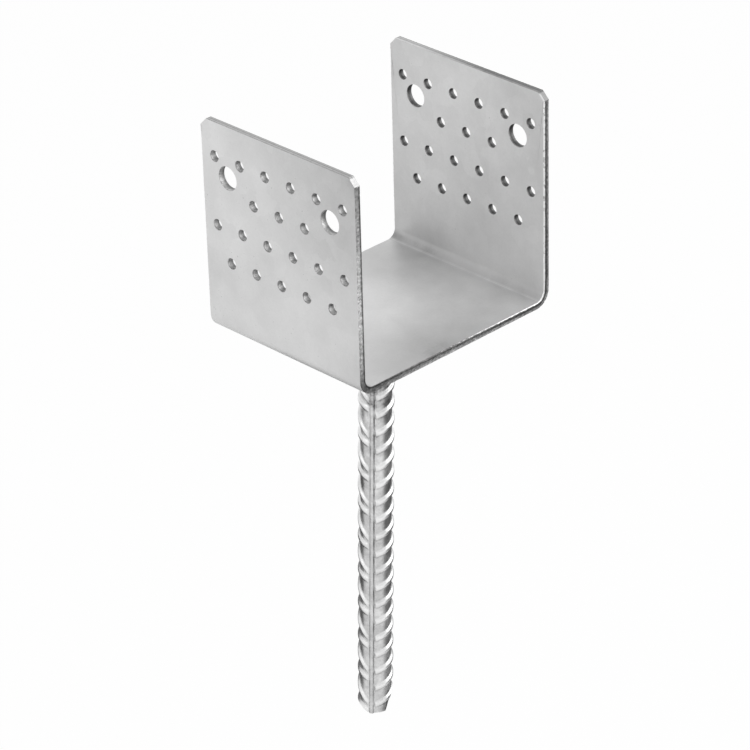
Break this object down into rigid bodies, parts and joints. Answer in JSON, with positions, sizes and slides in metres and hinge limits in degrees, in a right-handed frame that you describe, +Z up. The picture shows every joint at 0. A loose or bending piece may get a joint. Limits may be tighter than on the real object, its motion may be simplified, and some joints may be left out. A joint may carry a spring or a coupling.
{
  "type": "timber post base",
  "caption": "U-shaped galvanised post base with punched flanges on a ribbed anchor bar for casting into concrete.",
  "frame": {"origin": "middle of the seat's upper face, where the post's end grain stands", "axes": "+Z up out of the seat along the post, X across the opening from flange to flange, Y along the flanges"},
  "size_m": [0.151, 0.12, 0.3971],
  "materials": {
    "galvanised_plate": "hot-dip galvanised, dull",
    "galvanised_bar": "hot-dip galvanised, dull and mottled"
  },
  "bodies": {
    "root": {"u_bracket": "galvanised_plate", "anchor_bar": "galvanised_bar"}
  },
  "joints": []
}
